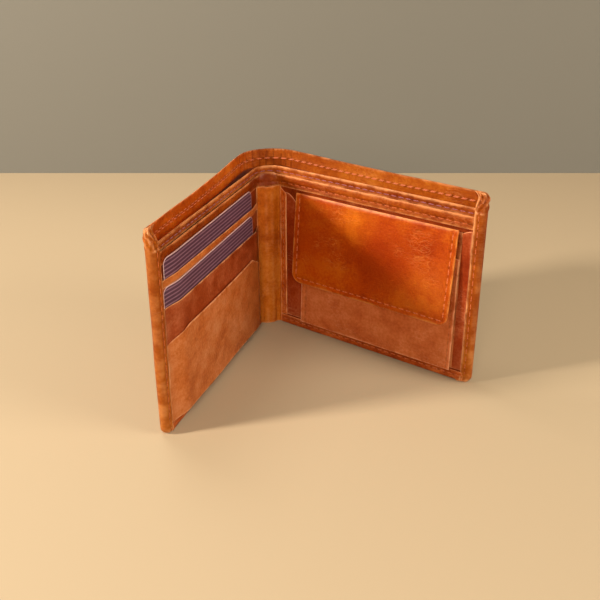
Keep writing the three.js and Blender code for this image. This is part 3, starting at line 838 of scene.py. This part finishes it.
for name in ("upper", "lower"):
    (u0, u1), (t0, t1), (z0, z1) = left.span(f"card_{name}")

    def round_corner(u):
        gap = CARD_CORNER - min(u - u0, u1 - u, CARD_CORNER)
        return CARD_CORNER - math.sqrt(CARD_CORNER ** 2 - gap ** 2)

    across = spaced(u0, u1, 1.6, (0, 0.1, 0.3, 0.6, 1, 1.6, 2.4, 3.2))
    card = sheet(f"card_{name}_plastic", stacked, across, spaced(z0, z1, 1.8),
                 lambda u: z0 + round_corner(u), lambda u: z1 - round_corner(u), t0, t1, rim=0.2, worn_lit_width=0.45)
    sewn(card, card_face, f"{name}_card", [f"card_{name}"])

# The front pocket of the left leaf is glossy leather with a chamfered mouth, whose edge is burnished pale
# and carries a painted highlight as well.
(u0, u1), (t0, t1), (z0, z1) = left.span("front_pocket")
SHOULDER_AT_FOLD, SHOULDER_AT_BORDER, CHAMFER = 33, 37.4, 15


def front_mouth(u):
    fold_side = mix(SHOULDER_AT_FOLD, z1, min(1, (u - u0) / CHAMFER))
    border_side = mix(SHOULDER_AT_BORDER, z1, min(1, (u1 - u) / CHAMFER))
    return min(fold_side, border_side)


front_leather = oiled_leather("front_leather", (184, 86, 26), (210, 118, 54), (224, 144, 86),
                              (242, 180, 126), seed=23, creases=0.12, grain=0.2, rough=0.24)


def cushion(u, z):
    belly = 0.5 * math.sin(math.pi * ease(u, u0, u1)) * ease(z, z0, z0 + 20)
    return t0 - belly + waver(u, z, 24, 0.25, 25)


front_pocket = sheet("front_pocket_leather", stacked, spaced(u0, u1, 0.9), spaced(z0, z1, 0.9),
                     z0, front_mouth, cushion, lambda u, z: cushion(u, z) + t1 - t0, rim=0.3, worn_lit_width=0.5)
sewn(front_pocket, front_leather, left.body, ["front_pocket"])

# The right leaf has a slip pocket under the coin pocket. Its mouth dips in the middle, where a hand reaches
# in. A strip sewn beside the fold holds its end.
(u0, u1), (t0, t1), (z0, z1) = right.span("slip_pocket")
(strip_u0, strip_u1), (strip_t0, strip_t1), (strip_z0, strip_z1) = right.span("fold_side_strip")


def slip_mouth(u):
    fold_side = mix(z1 - 1, 60, ease(u, strip_u1, strip_u1 + 10))
    border_side = mix(60, z1 + 0.8, ease(u, u1 - 16, u1))
    return max(fold_side, border_side)


slip_leather = oiled_leather("slip_leather", (142, 40, 4), (168, 60, 18), (190, 88, 44), (232, 150, 98),
                             seed=27, creases=0.2, grain=0.3, rough=0.34)
sag = lambda u, z: waver(u, z, 20, 0.12, 28) - 0.3 * ease(z, 50, 66) * ease(u, u1 - 14, u1 - 6)
slip = sheet("slip_pocket_leather", right.at, spaced(u0, u1, 1.0), spaced(z0, z1, 1.0), z0, slip_mouth,
             lambda u, z: t0 + sag(u, z), lambda u, z: t1 + sag(u, z), rim=0.25, worn_lit_width=0.5)
sewn(slip, slip_leather, right.body, ["slip_pocket"])
strip_middle = (strip_u0 + strip_u1) / 2 - 0.2
strip_row = (strip_z0 + 1, strip_z1 - 2)


def side_face(u, z):
    dent = groove(u - strip_middle, 0.2, 0.55) + pucker(z, u - strip_middle, strip_row)
    return strip_t0 - 0.12 + dent + waver(u, z, 5, 0.07, 29)


# The strip is darkened in its seam's holes and groove: painted shade.
side_strip = sheet("fold_side_strip_leather", right.at,
                   spaced(strip_u0, strip_u1, 0.3, (0, 0.08, 0.2, 0.35)), spaced(strip_z0, strip_z1, 0.5),
                   strip_z0, lambda u: strip_z1 + 1.2 - (u - strip_u0) * 0.8, side_face, strip_t1,
                   rim=0.35, worn_lit_width=0.6, wear_light_shade=lambda u, z: seam_shade(z, u - strip_middle, strip_row))
# Paler tints stand in for light on the side strip, which sits in shade beside the fold: painted light.
lit_side_leather = oiled_leather("lit_side_leather", (176, 62, 6), (208, 92, 20), (226, 122, 42), (246, 176, 112),
                             seed=29, grain=0.5)
sewn(side_strip, lit_side_leather, right.body, ["fold_side_strip"])
row = on_leaf(right, lambda z: (strip_middle, z), side_face, -0.1)
sewn(seam("fold_side_seam", row, strip_row), orange_thread, right.body)

# The coin pocket is a back and a front of skived leather, joined at the sides and the foot by a gusset that
# folds inwards. The front stands off most at its foot, where the coins lie.
(u0, u1), (t0, t1), (z0, z1) = right.span("coin_pocket_back")
back_panel = sheet("coin_back_leather", right.at, spaced(u0, u1, 2), spaced(z0, z1, 2), z0, z1, t0, t1)
sewn(back_panel, deep_leather, right.body, ["coin_pocket_back"])
coin_back = t0
(u0, u1), (coin_foot, _), (z0, z1) = right.span("coin_pocket_front")
front_thick = 0.6
coin_mouth = coin_foot + 1.75
# The coin pocket's tints are raised to stand in for light where the left leaf shades it: painted light.
lit_coin_leather = oiled_leather("lit_coin_leather", (186, 82, 32), (208, 108, 52), (224, 130, 74), (244, 178, 124),
                             seed=31, creases=0.1, grain=0.2, rough=0.28)
COIN_SEAMS = (u0 + 2.6, u1 - 1.6)


def coin_face(u, z):
    lean_in = mix(coin_foot, coin_mouth, (z - z0) / (z1 - z0))
    belly = -0.35 * math.sin(math.pi * ease(u, u0, u1)) * math.sin(math.pi * ease(z, z0, z1 + 8))
    return lean_in + belly + waver(u, z, 18, 0.12, 32)


coin_row = (z0 + 1.5, z1 - 1)


def sewn_face(u, z):
    dents = [groove(u - line, 0.2, 0.5) + pucker(z, u - line, coin_row) for line in COIN_SEAMS]
    return coin_face(u, z) + sum(dents)


# The coin front is darkened in its seams' holes and grooves: painted shade.
coin_front = sheet("coin_front_leather", right.at, spaced(u0, u1, 0.6), spaced(z0, z1, 0.8), z0, z1,
                   sewn_face, lambda u, z: coin_face(u, z) + front_thick, rim=0.3, worn_lit_width=0.6,
                   wear_light_shade=lambda u, z: sum(seam_shade(z, u - line, coin_row) for line in COIN_SEAMS))
sewn(coin_front, lit_coin_leather, right.body, ["coin_pocket_front"])
for i, line in enumerate(COIN_SEAMS):
    row = on_leaf(right, lambda z, line=line: (line, z), sewn_face, -0.1)
    sewn(seam(f"coin_seam_{i}", row, coin_row, 0.2), orange_thread, right.body)
GUSSET_THICK = 0.35
GUSSET_STEPS = [i / 8 for i in range(9)]
for name, end, inward in (("left", u0, 1), ("right", u1, -1)):
    top = right.span(f"coin_gusset_{name}")[2][1]

    def fold(n, t, z, end=end, inward=inward):
        """n runs from the back panel to the front; the gusset's fold points into the pocket."""
        front = mix(coin_foot, coin_mouth, (z - z0) / (z1 - z0)) + front_thick + 0.06
        t_across = mix(coin_back - 0.06, front, n)
        tuck = 1.5 * (1 - abs(2 * n - 1))
        return right.at(end + inward * (0.25 + tuck + t), t_across, z)

    gusset = sheet(f"coin_gusset_{name}_leather", fold, GUSSET_STEPS, spaced(z0 + 1, top, 2), z0 + 1, top,
                   0, GUSSET_THICK, rim=0.01)
    sewn(gusset, deep_leather, right.body, [f"coin_gusset_{name}"])


def base_fold(u, t, n):
    """n runs from the back panel to the front; the base's fold points up."""
    t_across = mix(coin_back - 0.06, coin_foot + front_thick + 0.06, n)
    return right.at(u, t_across, z0 + 0.2 + t + 0.8 * (1 - abs(2 * n - 1)))


base = sheet("coin_gusset_base_leather", base_fold, spaced(u0 + 2, u1 - 2, 2), GUSSET_STEPS,
             0, 1, 0, GUSSET_THICK, rim=0.01)
sewn(base, deep_leather, right.body, ["coin_gusset_base"])

# The flap closes the coin pocket. Two skived leathers, grain side out, are sewn together round three edges,
# and turn on the fold along the top. It lies a little off the pocket and lifts at its outer corner.
hinge = Vector(joints["coin_flap_hinge"]["pos_m"])
(flap_start, flap_end), (flap_front, _), (flap_low, _) = right.span("flap_leather")
HINGE_T = (hinge - right_fold).dot(right.out) / MM
HINGE_Z = hinge.z / MM
FLAP_LENGTH = math.hypot(HINGE_Z - flap_low, HINGE_T - flap_front - 0.45)
FLAP_LEAN = math.atan2(HINGE_T - flap_front - 0.45, HINGE_Z - flap_low)
FLAP_CORNER = 5
FLAP_SEAM = 2.3
SKIVED = 0.45


def flap_place(u, t, w):
    """w runs down the flap from its hinge, t back out of it."""
    lift = 0.55 * ease(u, 40, flap_end) * ease(w, 5, FLAP_LENGTH)
    arch = math.sin(math.pi * (u - flap_start) / (flap_end - flap_start))
    bow = 0.3 * math.sin(math.pi * w / FLAP_LENGTH) * arch
    t = t - lift - bow + waver(u, w, 22, 0.2, 35) * ease(w, 2, 10)
    down, forward = math.cos(FLAP_LEAN), math.sin(FLAP_LEAN)
    return right.at(u, HINGE_T - w * forward + t * down, HINGE_Z - w * down - t * forward)


def flap_corner(u, inset):
    radius = FLAP_CORNER - inset
    gap = radius - min(u - flap_start - inset, flap_end - inset - u, radius)
    return radius - math.sqrt(max(0, radius ** 2 - gap ** 2))


def flap_seam_gap(u, w):
    """Distance from the seam round the flap's three sewn edges."""
    return min(u - flap_start, flap_end - u, FLAP_LENGTH - w) - FLAP_SEAM


FLAP_CLOUDS = (((22, 20), 24, tint(168, 50, 0), 0.5), ((60, 22), 24, tint(158, 46, 0), 0.8),
               ((84, 30), 20, tint(204, 104, 24), 0.6), ((44, 6), 14, tint(226, 122, 14), 0.75))
flap_leather = oiled_leather("flap_leather", (168, 52, 0), (190, 72, 4), (206, 98, 12), (226, 144, 62),
                             seed=38, creases=0.2, grain=0.4, rough=0.36, patches=FLAP_CLOUDS)
edge_steps = (0, 0.1, 0.25, 0.5, 0.9, 1.4, 1.8, 2.1, 2.4, 2.7, 3.1, 3.6, 4.2, 5)
seam_left, seam_right, seam_foot = flap_start + FLAP_SEAM, flap_end - FLAP_SEAM, FLAP_LENGTH - FLAP_SEAM
SIDE_ROW, FLAP_FOOT_ROW = (1.5, seam_foot - 1), (seam_left, seam_right)


def flap_seam_place(u, w):
    """How far along the nearest of the flap's seams a point lies, and between which ends that seam runs."""
    return (u, FLAP_FOOT_ROW) if FLAP_LENGTH - w < min(u - flap_start, flap_end - u) else (w, SIDE_ROW)


def flap_face(u, w):
    roll = 0.35 * (1 - ease(w, 0, 1.6))
    gap = flap_seam_gap(u, w)
    along_seam, run = flap_seam_place(u, w)
    return -0.03 - SKIVED - 0.12 + groove(gap, 0.2, 0.7) + pucker(along_seam, gap, run) + roll


# Painted shade in the holes and grooves of the flap's seams.
def flap_seam_shade(u, w):
    along_seam, run = flap_seam_place(u, w)
    return seam_shade(along_seam, flap_seam_gap(u, w), run)


flap = sheet("flap_outer_leather", flap_place, spaced(flap_start, flap_end, 0.6, edge_steps),
             spaced(0, FLAP_LENGTH, 0.6), 0, lambda u: FLAP_LENGTH - flap_corner(u, 0), flap_face, -0.03,
             rim=0.35, worn_lit_width=0.9, wear_light_shade=flap_seam_shade)
sewn(flap, flap_leather, "coin_flap", ["flap_leather"])
inset = 0.5
across = spaced(flap_start + inset, flap_end - inset, 1.2, edge_steps)
inner_flap = sheet("flap_inner_leather", flap_place, across, spaced(inset, FLAP_LENGTH - inset, 1.4), inset,
                   lambda u: FLAP_LENGTH - inset - flap_corner(u, inset), 0.03, 0.03 + SKIVED, rim=0.3)
sewn(inner_flap, deep_leather, "coin_flap", ["flap_lining"])
flap_rows = {"left": (lambda a: (seam_left, a), SIDE_ROW), "right": (lambda a: (seam_right, a), SIDE_ROW),
             "foot": (lambda a: (a, seam_foot), FLAP_FOOT_ROW)}
for name, (line, run) in flap_rows.items():
    row = lambda a, line=line: (flap_place(line(a)[0], flap_face(*line(a)) + 0.08, line(a)[1]), -right.out)
    sewn(seam(f"flap_seam_{name}", row, run, 0.28), orange_thread, "coin_flap")

# A brass press stud keeps the flap shut: the stud and its washer are riveted through the coin pocket's
# front, and the socket through the flap's inner leather.
paint = Paint("brass", Metallic=1.0)
scuff = paint.noise(paint.node("TexCoord", {}, {}, 3), 700, 4)
colour = paint.blend(tint(176, 134, 74), tint(214, 176, 112), scuff)
brass = paint.finish(colour, 0.22 + scuff * 0.2, scuff, 0.1, 0.0001)


def turned(name, profile, centre, axis):
    """A round metal part: its profile, of radius and height, spun about its axis."""
    bm = bmesh.new()
    points = [bm.verts.new((radius * MM, 0, height * MM)) for radius, height in profile]
    edges = [bm.edges.new(pair) for pair in zip(points, points[1:] + points[:1])]
    bmesh.ops.spin(bm, geom=points + edges, axis=(0, 0, 1), cent=(0, 0, 0), steps=48, angle=2 * math.pi,
                   use_merge=True)
    bmesh.ops.remove_doubles(bm, verts=bm.verts, dist=1e-6)
    turn = Vector(axis).to_track_quat("Z", "Y").to_matrix().to_4x4()
    bmesh.ops.transform(bm, matrix=Matrix.Translation(centre) @ turn, verts=bm.verts)
    return new_piece(name, bm, 30)


def middle_of(node):
    low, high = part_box(node)
    return (low + high) / 2


front_lean = math.atan2(coin_mouth - coin_foot, z1 - z0)
stud_axis = -(right.out * math.cos(front_lean) - Vector((0, 0, 1)) * math.sin(front_lean))
flap_back = right.out * math.cos(FLAP_LEAN) - Vector((0, 0, 1)) * math.sin(FLAP_LEAN)
stud_place = middle_of("snap_stud")
stud_u = (stud_place - right_fold).dot(right.along) / MM
on_front = right.at(stud_u, sewn_face(stud_u, stud_place.z / MM), stud_place.z / MM)
STUD = [(0.01, 0), (4.3, 0), (4.5, 0.12), (4.3, 0.28), (2.4, 0.34), (1.75, 0.45), (1.75, 0.6), (1.95, 0.75),
        (1.8, 0.92), (1.3, 1.0), (0.01, 1.0)]
WASHER = [(0.01, -0.15), (4.2, -0.15), (4.45, 0), (4.2, 0.15), (0.01, 0.15)]
SOCKET = [(2.3, -0.3), (4.7, -0.3), (5, -0.15), (4.9, 0.1), (4.4, 0.28), (2.7, 0.3), (2.35, 0.15)]
stud = turned("press_stud", STUD, on_front - stud_axis * 0.05 * MM, stud_axis)
sewn(stud, brass, "leaf_right", ["snap_stud"])
washer = turned("press_stud_washer", WASHER, middle_of("snap_washer"), stud_axis)
sewn(washer, brass, "leaf_right", ["snap_washer"])
socket = turned("press_socket", SOCKET, middle_of("snap_socket"), flap_back)
sewn(socket, brass, "coin_flap", ["snap_socket"])

# The wallet stands on a plain pale floor in front of a plain wall that faces the camera. A low key light on
# the left throws the shadow to the right, and broad soft lights in front and a weak one behind fill it.
floor_bm = bmesh.new()
bmesh.ops.create_grid(floor_bm, x_segments=2, y_segments=2, size=3)
floor = new_piece("floor", floor_bm)
floor.data.transform(Matrix.Translation((0, 0, -0.0001)))
paint = Paint("floor_paint")
floor.data.materials.append(paint.finish(tint(169, 147, 115), 0.7))
WALL_DISTANCE = 630
sight = Vector((math.sin(math.radians(CAMERA_TURN)), math.cos(math.radians(CAMERA_TURN)), 0))
wall_bm = bmesh.new()
bmesh.ops.create_grid(wall_bm, x_segments=2, y_segments=2, size=3)
wall = new_piece("wall", wall_bm)
wall_place = Vector((camera.location.x, camera.location.y, 0)) + sight * WALL_DISTANCE * MM
wall.data.transform(Matrix.Translation(wall_place) @ (-sight).to_track_quat("Z", "Y").to_matrix().to_4x4())
paint = Paint("wall_paint")
wall.data.materials.append(paint.finish(tint(99, 94, 82), 0.8))

world = bpy.data.worlds.new("room")
bpy.context.scene.world = world
world.use_nodes = True
world.node_tree.nodes["Background"].inputs["Color"].default_value = (1.0, 0.87, 0.7, 1)
world.node_tree.nodes["Background"].inputs["Strength"].default_value = 0.29


def soft_light(name, place, size, power, colour, aim=(0, 0, 0.04)):
    light = bpy.data.objects.new(name, bpy.data.lights.new(name, "AREA"))
    light.data.shape, light.data.size, light.data.energy, light.data.color = "DISK", size, power, colour
    light.location = place
    light.rotation_euler = (Vector(aim) - Vector(place)).to_track_quat("-Z", "Y").to_euler()
    bpy.context.scene.collection.objects.link(light)


soft_light("key", (-0.85, -0.02, 0.44), 0.14, 15, (1, 0.94, 0.86))
soft_light("front", (-0.4, -0.9, 0.5), 0.5, 9, (1, 0.94, 0.86))
soft_light("side", (0.6, -0.5, 0.35), 0.5, 6, (1, 0.94, 0.86))
soft_light("back", (-0.12, 0.2, 0.45), 0.2, 0.8, (1, 0.97, 0.92))
bpy.context.scene.view_settings.view_transform = "Standard"
